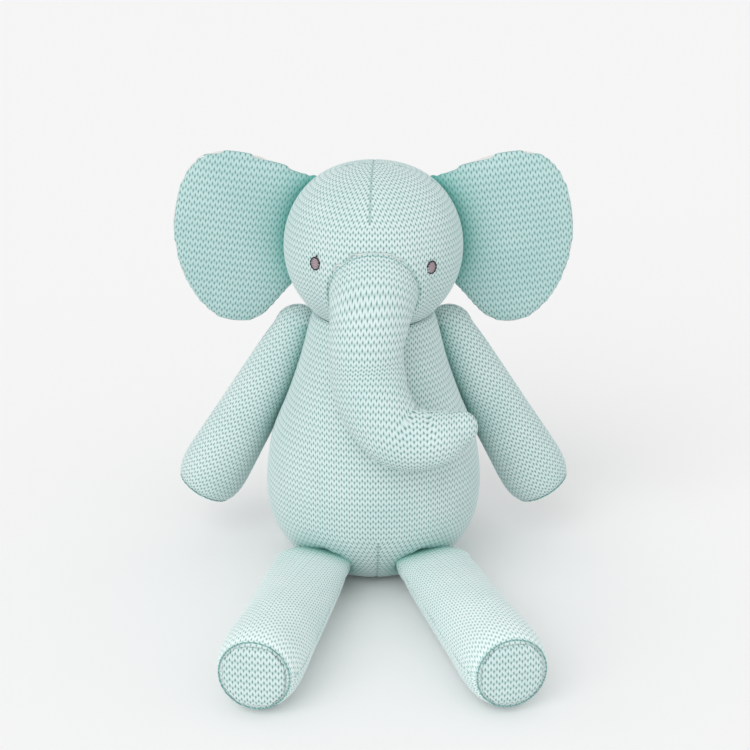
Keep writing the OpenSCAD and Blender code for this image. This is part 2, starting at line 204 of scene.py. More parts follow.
def smoothLine(points, step):
    # A smooth curve through the points, in equal steps; returns it and its length
    p = np.array(points, float)
    ends = np.vstack([2 * p[0] - p[1], p, 2 * p[-1] - p[-2]])
    t = np.linspace(0, 1, 24, endpoint=False)[:, None]
    dense = []
    for a, b, c, d in zip(ends, ends[1:], ends[2:], ends[3:]):
        dense.append(0.5 * (2 * b + (c - a) * t + (2 * a - 5 * b + 4 * c - d) * t ** 2
                            + (3 * b - a - 3 * c + d) * t ** 3))
    dense = np.vstack(dense + [p[-1:]])
    run = np.concatenate([[0], np.cumsum(np.linalg.norm(np.diff(dense, axis=0), axis=1))])
    count = max(2, round(run[-1] / step))
    at = np.linspace(0, run[-1], count + 1)
    return np.stack([np.interp(at, run, dense[:, k]) for k in range(p.shape[1])], 1), run[-1]


def lumps(points, seed, size, height):
    # Soft unevenness of hand-packed filling: four waves in directions that the seed picks
    total = np.zeros(len(points))
    for k in range(4):
        direction = np.array([math.sin(seed + 2.1 * k), math.cos(1.7 * seed + 3.3 * k),
                              math.sin(0.6 * seed + 5.2 * k)])
        total += np.sin(points @ direction * (2 * math.pi / (size * (1 + 0.35 * k))) + seed * 1.3 + k * 2.4)
    return total * height / 4


def gridPanel(bm, columns, rows, place, flip):
    # One knitted panel: a grid with one face a stitch, laid where place() says.
    # place(a, v) gives points, the stitch coordinates there, and how near a seam each one is
    uvLayer = bm.loops.layers.uv.verify()
    seamLayer = bm.verts.layers.float.get("seam") or bm.verts.layers.float.new("seam")
    made = bmesh.ops.create_grid(bm, x_segments=columns, y_segments=len(rows) - 1, size=1.0)["verts"]
    spot = np.array([v.co[:2] for v in made])
    a = np.rint((spot[:, 0] + 1) / 2 * columns)
    row = np.rint((spot[:, 1] + 1) / 2 * (len(rows) - 1)).astype(int)
    points, stitches, seams = place(a, np.asarray(rows)[row], row)
    coordsOf = {}
    for v, p, s, m in zip(made, points, stitches, seams):
        v.co = p
        v[seamLayer] = m
        coordsOf[v] = s
    faces = {f for v in made for f in v.link_faces}
    for f in faces:
        for loop in f.loops:
            loop[uvLayer].uv = coordsOf[loop.vert]
    if flip:
        bmesh.ops.reverse_faces(bm, faces=list(faces))


def meshObject(bm, name, material, merge=0.00006):
    bmesh.ops.remove_doubles(bm, verts=bm.verts, dist=merge)
    bmesh.ops.dissolve_degenerate(bm, edges=bm.edges, dist=merge / 2)
    bmesh.ops.recalc_face_normals(bm, faces=bm.faces)
    if bm.calc_volume(signed=True) < 0:
        bmesh.ops.reverse_faces(bm, faces=bm.faces)
    for f in bm.faces:
        f.smooth = True
    mesh = bpy.data.meshes.new(name)
    bm.to_mesh(mesh)
    bm.free()
    if mesh.uv_layers:
        mesh.uv_layers[0].name = "knit"
    mesh.materials.append(material)
    piece = bpy.data.objects.new(name, mesh)
    bpy.context.scene.collection.objects.link(piece)
    return piece


def sewnTube(name, profile, material, shape=None, place=None, darts=((0, 0), (0, 0)), gauge=(1, 1), turn=0):
    # A cover of a front and a back panel with side seams, round the axis Z, in mm.
    # profile: radius and height from the bottom up. darts: (from this row, stitches lost in each row) at the
    # front and back, a negative row counting down from the top. shape then moves the points, and turn, in
    # degrees, moves the front's middle to one side
    wale, course = knit["wale"] * gauge[0], knit["course"] * gauge[1]
    line, length = smoothLine(profile, course)
    rows = np.arange(len(line), dtype=float)
    radius = np.maximum(line[:, 0], 0)
    bm = bmesh.new()
    columns = int(math.ceil(math.pi / 2 * radius.max() / wale)) + 1
    for back in (0, 1):
        facing = 1 if back else -1
        start, loss = darts[back]
        if start >= 0:
            lost = loss * np.maximum(0, start - rows)
        else:
            lost = loss * np.maximum(0, rows - (rows[-1] + start))
        extra = int(math.ceil(lost.max()))
        for side in (-1, 1):
            def lay(a, v, row):
                r = radius[row]
                half = r * math.pi / 2 / wale
                b = np.clip(a, lost[row], half + lost[row])
                angle = np.minimum((b - lost[row]) * wale / np.maximum(r, 1e-6), math.pi / 2)
                angle = np.where(r < 0.01, 0, angle) * side - facing * math.radians(turn)
                points = np.stack([r * np.sin(angle), facing * r * np.cos(angle), line[row, 1]], 1)
                near = (a >= half + lost[row] - 0.01) | ((lost[row] > 0.3) & (a <= lost[row] + 0.01))
                return points, np.stack([side * b, v], 1), near.astype(float)
            gridPanel(bm, columns + extra, rows, lay, (side > 0) == bool(back))
    if shape:
        for v, p in zip(bm.verts, shape(np.array([v.co for v in bm.verts]))):
            v.co = p
    if place is not None:
        bm.transform(place)
    return meshObject(bm, name, material)


def insideOutline(points, outline):
    # Which points are inside a closed outline
    x, y = points[:, 0], points[:, 1]
    inside = np.zeros(len(points), bool)
    for (x1, y1), (x2, y2) in zip(outline, np.roll(outline, -1, 0)):
        crosses = (y1 > y) != (y2 > y)
        inside ^= crosses & (x < (x2 - x1) * (y - y1) / (y2 - y1 + 1e-12) + x1)
    return inside


def nearestOn(points, outline):
    # Each point's distance to the outline, and the nearest spot on it
    best, spot = np.full(len(points), 1e9), np.zeros_like(points)
    for a, b in zip(outline, np.roll(outline, -1, 0)):
        run = b - a
        t = np.clip(((points - a) @ run) / max(run @ run, 1e-9), 0, 1)
        there = a + t[:, None] * run
        far = np.linalg.norm(points - there, axis=1)
        closer = far < best
        best[closer], spot[closer] = far[closer], there[closer]
    return best, spot


def sewnPad(name, outline, material, crown, depth, place, gauge=(1, 1), tilt=0, flatBack=None, shape=None):
    # Two flat panels sewn round their rim and filled. outline is [across, up] in mm; crown is how far each
    # face stands out, depth how far from the rim that takes, and place the matrix from (across, out, up)
    outline = np.array(outline, float)
    middle = (outline.min(0) + outline.max(0)) / 2
    size = outline.max(0) - outline.min(0)
    wale, course = knit["wale"] * gauge[0], knit["course"] * gauge[1]
    c, s = math.cos(math.radians(tilt)), math.sin(math.radians(tilt))
    reach = 0.5 * (abs(size[0] * c) + abs(size[1] * s)), 0.5 * (abs(size[0] * s) + abs(size[1] * c))
    cols, rows = int(reach[0] / wale) + 2, int(reach[1] / course) + 2
    bm = bmesh.new()
    for out in (-1, 1):
        before = set(bm.faces)
        uvLayer = bm.loops.layers.uv.verify()
        seamLayer = bm.verts.layers.float.get("seam") or bm.verts.layers.float.new("seam")
        made = bmesh.ops.create_grid(bm, x_segments=2 * cols, y_segments=2 * rows, size=1.0)["verts"]
        spot = np.array([v.co[:2] for v in made])
        stitches = np.rint(spot * np.array([cols, rows]))
        flat = stitches * np.array([wale, course])
        flat = flat @ np.array([[c, s], [-s, c]]) + middle
        inside = insideOutline(flat, outline)
        far, rim = nearestOn(flat, outline)
        snapped = ~inside | (far < 0.32 * wale)
        moved = np.where(snapped[:, None], rim, flat)
        dist = np.where(snapped, 0, far)
        rise = np.sqrt(np.maximum(0, 1 - (1 - np.minimum(dist / depth, 1)) ** 2))
        tall = crown if out < 0 or flatBack is None else flatBack
        back = (moved - middle) @ np.array([[c, -s], [s, c]]) / np.array([wale, course])
        for v, p, h, w, n in zip(made, moved, rise, back, snapped):
            v.co = (p[0], out * h * tall, p[1])
            v[seamLayer] = float(n)
            v.tag = bool(n)
        lookup = dict(zip(made, back))
        stray = []
        for f in set(bm.faces) - before:
            if all(v.tag for v in f.verts):
                stray.append(f)
                continue
            for loop in f.loops:
                loop[uvLayer].uv = lookup[loop.vert]
            if out > 0:
                f.normal_flip()
        if stray:
            bmesh.ops.delete(bm, geom=stray, context="FACES")
    bmesh.ops.delete(bm, geom=[v for v in bm.verts if not v.link_faces], context="VERTS")
    bmesh.ops.remove_doubles(bm, verts=bm.verts, dist=0.3)
    edges = [e for e in bm.edges if e.is_boundary]
    if edges:
        bmesh.ops.holes_fill(bm, edges=edges, sides=0)
    # The sewn edge is pulled into an even line
    rim = {v for v in bm.verts if v[seamLayer] > 0.9}
    pairs = [(v, [e.other_vert(v) for e in v.link_edges if e.other_vert(v) in rim]) for v in rim]
    for _ in range(3):
        moved = {v: v.co * 0.5 + (n[0].co + n[1].co) * 0.25 for v, n in pairs if len(n) == 2}
        for v, p in moved.items():
            v.co = p
    if shape:
        for v, p in zip(list(bm.verts), shape(np.array([v.co for v in bm.verts]))):
            v.co = p
    bm.transform(place)
    return meshObject(bm, name, material)


def stitchHeight(u, v):
    # 1 on a leg of a stitch, 0 at the bottom of the slit between two
    side = np.abs(u - np.floor(u) - 0.5)
    leg = v - side
    leg = leg - np.floor(leg)
    gap = 1 - np.sin(np.pi * leg)
    wide = np.abs(4 * side - 1) ** 1.5
    return 1 - (wide * gap + 0.16 * gap + 0.12 * wide) / 1.28


def readPoints(mesh):
    co = np.zeros(len(mesh.vertices) * 3)
    mesh.vertices.foreach_get("co", co)
    return co.reshape(-1, 3)


def stuff(pieces):
    # Each cover is filled by cloth pressure, with its seams held; points move at most the cap
    scene = bpy.context.scene
    scene.frame_start, scene.frame_end = 1, cloth["frames"]
    starts = {}
    for piece in pieces:
        mesh = piece.data
        starts[piece.name] = readPoints(mesh)
        seam = np.zeros(len(mesh.vertices), np.float32)
        mesh.attributes["seam"].data.foreach_get("value", seam)
        held = piece.vertex_groups.new(name="held")
        held.add([int(i) for i in np.nonzero(seam > 0.5)[0]], 1.0, "REPLACE")
        modifier = piece.modifiers.new("filling", "CLOTH")
        settings = modifier.settings
        settings.quality = cloth["quality"]
        settings.mass = cloth["mass"]
        settings.tension_stiffness = settings.compression_stiffness = cloth["stretch"]
        settings.shear_stiffness = cloth["shear"]
        settings.bending_stiffness = cloth["bend"]
        settings.use_pressure = True
        settings.uniform_pressure_force = cloth["pressure"]
        settings.vertex_group_mass = "held"
        settings.effector_weights.gravity = 0
        modifier.point_cache.frame_start, modifier.point_cache.frame_end = 1, cloth["frames"]
    for number in range(1, cloth["frames"] + 1):
        scene.frame_set(number)
    graph = bpy.context.evaluated_depsgraph_get()
    for piece in pieces:
        filled = readPoints(piece.evaluated_get(graph).data)
        start = starts[piece.name]
        move = filled - start
        far = np.linalg.norm(move, axis=1, keepdims=True)
        cap = cloth["cap"] / 1000
        move *= np.minimum(1, cap / np.maximum(far, 1e-9))
        starts[piece.name] = start + move
    for piece in pieces:
        piece.modifiers.clear()
        piece.vertex_groups.clear()
        piece.data.vertices.foreach_set("co", starts[piece.name].ravel())
        piece.data.update()
    scene.frame_set(1)


def finishKnit(piece, gap=None):
    # Two subdivisions give four points across and up each stitch; then its legs and slits are raised and sunk.
    # gap gives how far each point is from what the cover is pressed against, for the painted shade tinting its creases
    modifier = piece.modifiers.new("smooth", "SUBSURF")
    modifier.levels = modifier.render_levels = knit["subdivisions"]
    modifier.uv_smooth = "NONE"
    graph = bpy.context.evaluated_depsgraph_get()
    mesh = bpy.data.meshes.new_from_object(piece.evaluated_get(graph), preserve_all_data_layers=True, depsgraph=graph)
    piece.modifiers.clear()
    piece.data = mesh
    mesh.name = piece.name
    co = readPoints(mesh)
    normal = np.zeros(len(co) * 3)
    mesh.vertices.foreach_get("normal", normal)
    seam = np.zeros(len(co), np.float32)
    mesh.attributes["seam"].data.foreach_get("value", seam)
    uv = np.zeros(len(mesh.loops) * 2)
    mesh.uv_layers["knit"].data.foreach_get("uv", uv)
    uv = uv.reshape(-1, 2)
    owner = np.zeros(len(mesh.loops), np.int64)
    mesh.loops.foreach_get("vertex_index", owner)
    total = np.bincount(owner, stitchHeight(uv[:, 0], uv[:, 1]), len(co))
    height = total / np.maximum(np.bincount(owner, minlength=len(co)), 1)
    push = knit["relief"] * (height - knit["middle"]) - knit["seamDepth"] * np.clip(seam, 0, 1) ** 2
    co += normal.reshape(-1, 3) * (push / 1000)[:, None]
    mesh.vertices.foreach_set("co", co.ravel())
    if gap:
        # Painted shade: strongest where the cover lies against another part, fading over the crease reach
        paintedCreaseShade = np.exp(-np.maximum(gap(co * 1000), 0) / knit["paintedCreaseReach"])
        mesh.attributes.new("paintedCreaseShade", "FLOAT", "POINT").data.foreach_set("value", paintedCreaseShade.astype(np.float32))
    mesh.polygons.foreach_set("use_smooth", [True] * len(mesh.polygons))
    mesh.update()
    return piece


def drawIn(p, centre, room):
    # The torso's cover dips round a limb's rounded root, towards the torso's axis
    out = p.copy()
    flat = np.linalg.norm(p[:, :2], axis=1)
    d = p[:, :2] / np.maximum(flat, 1e-6)[:, None]
    along = d @ centre[:2]
    inside = along ** 2 - centre[:2] @ centre[:2] + room ** 2 - (p[:, 2] - centre[2]) ** 2
    near = along - np.sqrt(np.maximum(inside, 0))
    hit = (inside > 0) & (near > 0) & (flat > near) & (flat < along + np.sqrt(np.maximum(inside, 0)) + 4)
    out[hit, :2] = d[hit] * near[hit][:, None]
    return out


def gapTo(balls, p):
    # How far each point is outside a row of balls
    far = np.full(len(p), 1e3)
    for centre, radius in balls:
        far = np.minimum(far, np.linalg.norm(p - centre, axis=1) - radius)
    return far


covers = []
sides = (("left", 1), ("right", -1))
toMetres = Matrix.Scale(0.001, 4)

# Limbs: tubes that flare from a rounded root to a flat end closed by a round pad.
# flatten is how much a leg's root is pressed down where it is sewn under the belly
limbs = {
    "arm": {"root": 17.2, "profile": [(17.8, 14), (19.4, 38), (21, 68), (22.8, 98), (23.8, 116), (23.4, 126),
                                      (21.6, 132.5), (19.8, 135), (12, 135.2), (0, 135.2)],
            "length": 137.0, "slot": "mint_knit", "material": mintKnit, "fill": 0.75, "flatten": 0.0, "thin": 0.8},
    "leg": {"root": 21.0, "profile": [(21.6, 18), (22.8, 40), (24.2, 80), (25.4, 115), (26, 134), (25.6, 146),
                                      (23.6, 154.5), (21.8, 157.8), (14, 158.2), (0, 158.2)],
            "length": 160.0, "slot": "pale_mint_knit", "material": paleKnit, "fill": 0.8, "flatten": 0.55,
            "thin": 0.8},
}
press = {"reach": 110, "power": 1.2, "top": 1.3, "outer": 0.75, "inner": 0.12}
# Balls along each limb's root that the torso's cover dips round: from, to and step along the limb, radii, drop
dips = {"arm": {"steps": (0, 85, 6), "radius": 17.2, "grow": 0.05},
        "leg": {"steps": (-4, 21, 8), "radius": 14.5, "drop": -9, "spread": (-5, 0, 5)}}
shoulderAt = {s: pivots[f"arm_swing_{s}"] for s in ("left", "right")}
hipAt = {s: pivots[f"leg_spread_{s}"] for s in ("left", "right")}
tailAt = pivots["tail_wag"]


def place(origin, up, front):
    # Matrix from a piece's own mm, with its axis on Z and its front on -Y, to metres in the toy's frame
    z = Vector(up).normalized()
    y = -Vector(front)
    y = (y - y.dot(z) * z).normalized()
    turn = Matrix((y.cross(z), y, z)).transposed().to_4x4()
    return toMetres @ Matrix.Translation(Vector(origin)) @ turn


def limbProfile(kind):
    facts = limbs[kind]
    root = facts["root"] - facts["thin"]
    cap = [(root * math.cos(math.radians(a)), root * math.sin(math.radians(a))) for a in range(-90, 16, 15)]
    return cap + [(max(r - facts["thin"], 0), z) for r, z in facts["profile"]]


def pressedRoot(kind, sign):
    # A root pressed under the belly: lower on its upper side and spread on its outer side
    def shape(p):
        near = np.clip(1 - p[:, 2] / press["reach"], 0, 1) ** press["power"] * limbs[kind]["flatten"]
        p[:, 1] = np.where(p[:, 1] < 0, p[:, 1] * (1 - press["top"] * near), p[:, 1])
        outer = p[:, 0] * -sign > 0
        p[:, 0] *= np.where(outer, 1 + press["outer"] * near, 1 + press["inner"] * near)
        return p
    return shape


limbPlaces, limbPath = {}, {}
for sideName, sign in sides:
    for kind, pad in (("arm", "paw_pad"), ("leg", "sole")):
        origin = shoulderAt[sideName] if kind == "arm" else hipAt[sideName]
        low, high = boxOf(f"{pad}_{sideName}")
        end = (low + high) / 2
        up = (end - origin) / np.linalg.norm(end - origin)
        limbPlaces[kind, sideName] = place(origin, up, (0, -1, 0) if kind == "arm" else (0, 0, 1))
        facts = limbs[kind]
        cover = sewnTube(f"{kind}_cover_knit_{sideName}", limbProfile(kind), facts["material"],
                         pressedRoot(kind, sign), limbPlaces[kind, sideName])
        covers.append({"piece": cover, "body": f"{kind}_{sideName}", "slot": facts["slot"], "fill": facts["fill"],
                       "nodes": [f"{kind}_cover_{sideName}"], "core": f"{kind}_filling_{sideName}", "gap": "torso"})
        dip = dips[kind]
        limbPath[kind, sideName] = [(origin + up * t + np.array([x, 0, dip.get("drop", 0)]),
                                     dip["radius"] + dip.get("grow", 0) * t)
                                    for t in range(*dip["steps"]) for x in dip.get("spread", (0,))]

# Torso: a pear of two panels with a short dart low at the front
torso = {"profile": [(0, 0.9), (22, 0.8), (35, 1.4), (44, 4.6), (52, 10.4), (60.2, 19.4), (66.4, 30), (70.4, 42),
                     (71.6, 54), (71.2, 68), (68.4, 88), (64, 101), (59, 113), (54.5, 125), (51, 135), (47.5, 146),
                     (45, 156), (43, 164.5), (41.2, 171), (39.2, 176), (37.2, 177), (35.4, 173), (34.4, 164),
                     (30, 159.4), (0, 158.8)],
         "dartRow": 24, "dartLoss": 0.5, "turn": 2.6, "gap": 0.2, "tailRoom": 9.5,
         "collar": {"from": 158, "rise": 14, "inside": 34.2, "dip": 2.5, "power": 6}}


def torsoShape(p):
    for sideName in ("left", "right"):
        for centre, room in limbPath["arm", sideName] + limbPath["leg", sideName]:
            p = drawIn(p, centre, room + torso["gap"])
    # The chest dips under the chin
    ahead = np.clip(-p[:, 1] / np.maximum(np.hypot(p[:, 0], p[:, 1]), 1e-6), 0, 1)
    collar = torso["collar"]
    high = np.clip((p[:, 2] - collar["from"]) / collar["rise"], 0, 1)
    high *= np.hypot(p[:, 0], p[:, 1]) > collar["inside"]
    p[:, 2] -= collar["dip"] * high * ahead ** collar["power"]
    return drawIn(p, tailAt, torso["tailRoom"])


cover = sewnTube("body_cover_knit", torso["profile"], mintKnit, torsoShape, toMetres,
                 darts=((torso["dartRow"], torso["dartLoss"]), (0, 0)), turn=torso["turn"])
covers.append({"piece": cover, "body": "torso", "slot": "mint_knit", "fill": 0.8, "nodes": ["body_cover"],
               "core": "body_filling", "gap": "limbs"})

# Head: a ball of two panels, darted above the forehead and a little flat on top, raised round the trunk's root
head = {"dartLoss": 0.5, "dartRows": 17, "turn": -2.5, "lip": 3.9, "lipWidth": 18.0, "flatTop": 4.0, "rim": 28.2,
        "inside": 0.6, "snap": 1.9}
low, high = boxOf("head_cover")
headRadius = (high[0] - low[0]) / 2
headAt = np.array([0, 0, high[2] - headRadius])
trunkAt = pivots["trunk_swing"]
trunkFar = np.linalg.norm(trunkAt - headAt)
trunkWay = (trunkAt - headAt) / trunkFar
lipRadius = headRadius + head["lip"]
lipEdge = math.acos((lipRadius ** 2 + trunkFar ** 2 - head["rim"] ** 2) / (2 * lipRadius * trunkFar))


def headShape(p):
    d = p / np.maximum(np.linalg.norm(p, axis=1), 1e-9)[:, None]
    c = np.clip(d @ trunkWay, -1, 1)
    away = np.arccos(c) - lipEdge
    # The row of stitches next to the rim lies exactly along it
    around = d - c[:, None] * trunkWay
    around /= np.maximum(np.linalg.norm(around, axis=1), 1e-9)[:, None]
    close = np.abs(away) < math.radians(head["snap"])
    d[close] = math.cos(lipEdge) * trunkWay + math.sin(lipEdge) * around[close]
    away[close] = 0
    c = d @ trunkWay
    radius = headRadius - head["inside"] - head["flatTop"] * np.clip(d[:, 2], 0, 1) ** 6
    t = np.clip(np.degrees(away) / head["lipWidth"], 0, 1)
    radius = radius + head["lip"] * (1 - t * t * (3 - 2 * t))
    inner = c * trunkFar - np.sqrt(np.maximum(head["rim"] ** 2 - trunkFar ** 2 * (1 - c ** 2), 0))
    radius = np.where(away < -1e-4, np.minimum(inner, radius), radius)
    return d * radius[:, None] + headAt


ball = [(58 * math.cos(math.radians(a)), 58 * math.sin(math.radians(a))) for a in range(-90, 91, 6)]
cover = sewnTube("head_cover_knit", ball, mintKnit, headShape, toMetres,
                 darts=((-head["dartRows"], head["dartLoss"]), (-8, 0.4)), turn=head["turn"])
covers.append({"piece": cover, "body": "head", "slot": "mint_knit", "fill": 0.7, "nodes": ["head_cover"],
               "core": "head_filling", "gap": None})
print("limb, torso and head covers made")

# Trunk: flat J-shaped panels, so the columns of stitches stay upright where it curls to the side
trunk = {"path": [(0, -50, 205), (-2, -62, 193), (-4.5, -68, 177), (-4, -71, 160), (1, -78, 140.5), (14, -84.5, 123),
                  (33, -85.5, 119.5), (46, -83.5, 123), (54, -82, 126)],
         "radii": [28.4, 25.4, 23.6, 23.4, 22.8, 21.2, 18.8, 15.2, 11], "around": 48, "step": 3.5, "rootRows": 14}


def trunkTube(name, material):
    path = np.array(trunk["path"], float)
    radii = np.array(trunk["radii"], float)[:, None]
    line, length = smoothLine(np.hstack([path, radii]), trunk["step"])
    ahead = np.gradient(line[:, :3], axis=0)
    ahead /= np.linalg.norm(ahead, axis=1)[:, None]
    front = np.array([0, -1.0, 0]) + ahead * ahead[:, 1:2]
    front /= np.linalg.norm(front, axis=1)[:, None]
    side = np.cross(front, ahead)
    root, end = line[0, 3], line[-1, 3]
    rings = []
    for a in np.radians(np.linspace(90, 0, 12, endpoint=False)):
        rings.append((line[0, :3] - ahead[0] * root * math.sin(a), front[0], side[0], root * math.cos(a)))
    for i in range(len(line)):
        rings.append((line[i, :3], front[i], side[i], line[i, 3]))
    for a in np.radians(np.linspace(0, 90, 6)[1:]):
        rings.append((line[-1, :3] + ahead[-1] * end * math.sin(a), front[-1], side[-1], end * math.cos(a)))
    centre, frontOf, sideOf = (np.array([r[k] for r in rings]) for k in range(3))
    radius = np.array([max(r[3], 0) for r in rings])
    # The panel's own flat shape: across is X, up follows the trunk's fall and forward reach
    moves = np.diff(centre, axis=0)
    fall = np.sign(moves[:, 2]) * np.hypot(moves[:, 1], moves[:, 2])
    cut = np.stack([np.concatenate([[0], np.cumsum(moves[:, 0])]), np.concatenate([[0], np.cumsum(fall)])], 1)
    heading = np.gradient(cut, axis=0)
    heading /= np.maximum(np.linalg.norm(heading, axis=1), 1e-9)[:, None]
    cross = np.stack([-heading[:, 1], heading[:, 0]], 1)
    around = trunk["around"]

    def lay(a, v, row):
        angle = a / around * 2 * math.pi - math.pi
        r = radius[row][:, None]
        points = centre[row] + r * (np.cos(angle)[:, None] * frontOf[row] + np.sin(angle)[:, None] * sideOf[row])
        folded = np.where(np.abs(angle) <= math.pi / 2, angle, np.sign(angle) * math.pi - angle)
        flat = cut[row] + cross[row] * r * folded[:, None]
        near = (np.abs(np.abs(angle) - math.pi / 2) < 0.01) & (row > trunk["rootRows"])
        return points, flat / np.array([knit["wale"], knit["course"]]), near.astype(float)

    bm = bmesh.new()
    gridPanel(bm, around, np.arange(len(rings), dtype=float), lay, False)
    bm.transform(toMetres)
    return meshObject(bm, name, material)


covers.append({"piece": trunkTube("trunk_cover_knit", mintKnit), "body": "trunk", "slot": "mint_knit", "fill": 0.75,
               "nodes": ["trunk_cover"], "core": "trunk_filling", "gap": None})

# Ears: wide padded discs, cupped a little forward, their columns leaning with the ear; sewn to the head's sides
ear = {"rim": [(33, 265.5), (42, 263), (58, 271), (88, 279.5), (110, 277), (124, 261), (131, 232), (127, 202),
               (116.5, 180), (103, 166.5), (88, 162.5), (72.5, 168), (58, 184), (46, 198)],
       "crown": 5.8, "depth": 22.0, "tilt": 8.0, "cup": 4.0, "gauge": (1.0, 1.18), "root": 52.8,
       "bendFrom": 0.048, "bendTo": 0.074}
earMiddle = (boxOf("ear_front_left")[0][1] + boxOf("ear_back_left")[1][1]) / 2


def earOutline(side):
    line, length = smoothLine(ear["rim"], 2.0)
    centre = headAt[[0, 2]]
    line = line[np.linalg.norm(line - centre, axis=1) > ear["root"] + 0.5]
    first, last = line[-1] - centre, line[0] - centre
    arc = [centre + ear["root"] * np.array([math.cos(a), math.sin(a)])
           for a in np.linspace(math.atan2(first[1], first[0]), math.atan2(last[1], last[0]), 44)]
    loop = np.vstack([line, arc])
    loop[:, 0] *= side
    return loop[::side]


def earShape(p):
    reach = np.clip((np.abs(p[:, 0]) - 62) / 70, 0, 1)
    p[:, 1] -= ear["cup"] * reach ** 2
    return p


for sideName, sign in sides:
    where = toMetres @ Matrix.Translation((0, earMiddle, 0))
    cover = sewnPad(f"ear_cover_knit_{sideName}", earOutline(sign), shadedEarKnit, ear["crown"], ear["depth"], where,
                    gauge=ear["gauge"], tilt=ear["tilt"] * sign, shape=earShape)
    covers.append({"piece": cover, "body": f"ear_{sideName}", "slot": "pale_mint_knit", "fill": 0.5,
                   "nodes": [f"ear_front_{sideName}", f"ear_back_{sideName}"], "core": f"ear_batting_{sideName}",
                   "gap": "head", "bend": sign})
print("trunk and ear covers made")

# Round pads that close the hands and feet, each in a ring of seam yarn
pads = {"paw_pad": {"limb": "arm", "radius": 18.6, "crown": 2.4, "depth": 9.0, "slot": "pale_mint_knit",
                    "material": paleKnit, "lift": -1.4, "front": 1},
        "sole": {"limb": "leg", "radius": 20.8, "crown": 2.6, "depth": 9.0, "slot": "mint_knit",
                 "material": mintKnit, "lift": -1.4, "front": -1}}
for padName, facts in pads.items():
    limb = limbs[facts["limb"]]
    for sideName, sign in sides:
        ring = [(facts["radius"] * math.cos(math.radians(a)), facts["radius"] * math.sin(math.radians(a)))
                for a in range(0, 360, 8)]
        # The pad's out direction is the limb's far end, and its up is the limb's own upper side
        axes = Matrix(((1, 0, 0, 0), (0, 0, facts["front"], 0), (0, -1, 0, limb["length"] + facts["lift"]),
                       (0, 0, 0, 1)))
        pad = sewnPad(f"{padName}_knit_{sideName}", ring, facts["material"],
                      facts["crown"], facts["depth"], limbPlaces[facts["limb"], sideName] @ axes,
                      gauge=(1.0, 1.05), flatBack=0.5)
        covers.append({"piece": pad, "body": f"{facts['limb']}_{sideName}", "slot": facts["slot"], "fill": 0.6,
                       "nodes": [f"{padName}_{sideName}"], "core": None, "gap": None})

# Tail: a short closed tube
tail = {"profile": [(0, -8), (5.6, -5.6), (8, 0), (7.2, 8), (6.2, 20), (5.4, 32), (4.6, 38.5), (2.6, 41.4),
                    (0, 41.8)],
        "droop": 20.0}
droop = math.radians(tail["droop"])
tailPlace = place(tailAt, (0, math.cos(droop), -math.sin(droop)), (0, 0, -1))
cover = sewnTube("tail_cover_knit", tail["profile"], mintKnit, None, tailPlace, gauge=(0.85, 0.85))
covers.append({"piece": cover, "body": "tail", "slot": "mint_knit", "fill": 0.8, "nodes": ["tail_cover"],
               "core": "tail_filling", "gap": None})

stuff([c["piece"] for c in covers])
print("covers filled")

# The torso's outer line, for the painted shade in the creases where the limbs lie on it
torsoLine = smoothLine(torso["profile"], 3.0)[0]
torsoLine = torsoLine[torsoLine[:, 0] > 34]
limbBalls = [ball for balls in limbPath.values() for ball in balls]
# How far a point is from the part it lies against, for the painted shade in creases
gaps = {"torso": lambda p: np.hypot(p[:, 0], p[:, 1]) - np.interp(p[:, 2], torsoLine[:, 1], torsoLine[:, 0]),
        "head": lambda p: (np.linalg.norm(p - headAt, axis=1) - headRadius) * 0.6,
        "limbs": lambda p: gapTo(limbBalls, p)}


# Filling: how far under its cover it is in mm, and its lumps
fibre = {"inset": 1.6, "lump": 0.7, "lumpSize": 17.0, "thinShare": 0.75, "earRoot": 1.5, "earFrom": 70, "earReach": 12}


def core(cover, material):
    # Loose filling under a cover: the same shape, smaller and lumpy
    name = cover["core"]
    mesh = cover["piece"].data.copy()
    piece = bpy.data.objects.new(name + "_fibre", mesh)
    bpy.context.scene.collection.objects.link(piece)
    co = readPoints(mesh)
    normal = np.zeros(len(co) * 3)
    mesh.vertices.foreach_get("normal", normal)
    inset = fibre["inset"] + fibre["lump"] * lumps(co * 1000, len(name), fibre["lumpSize"], 1.0)
    if "batting" in name or "tail" in name:
        inset *= fibre["thinShare"]
    if "batting" in name:
        inset += fibre["earRoot"] * np.clip((fibre["earFrom"] - np.abs(co[:, 0]) * 1000) / fibre["earReach"], 0, 1)
    co -= normal.reshape(-1, 3) * (inset / 1000)[:, None]
    mesh.vertices.foreach_set("co", co.ravel())
    mesh.materials.clear()
    mesh.materials.append(material)
    mesh.update()
    return piece


def rideOn(piece, cover):
    if "bend" in cover:
        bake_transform(piece)
    else:
        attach(piece, cover["body"])


for cover in covers:
    if cover["core"]:
        filling = core(cover, whiteFibre)
        rideOn(filling, cover)
        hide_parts(cover["core"])
    piece = finishKnit(cover["piece"], gaps.get(cover["gap"]))
    rideOn(piece, cover)
    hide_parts(*cover["nodes"])
print("knit raised")


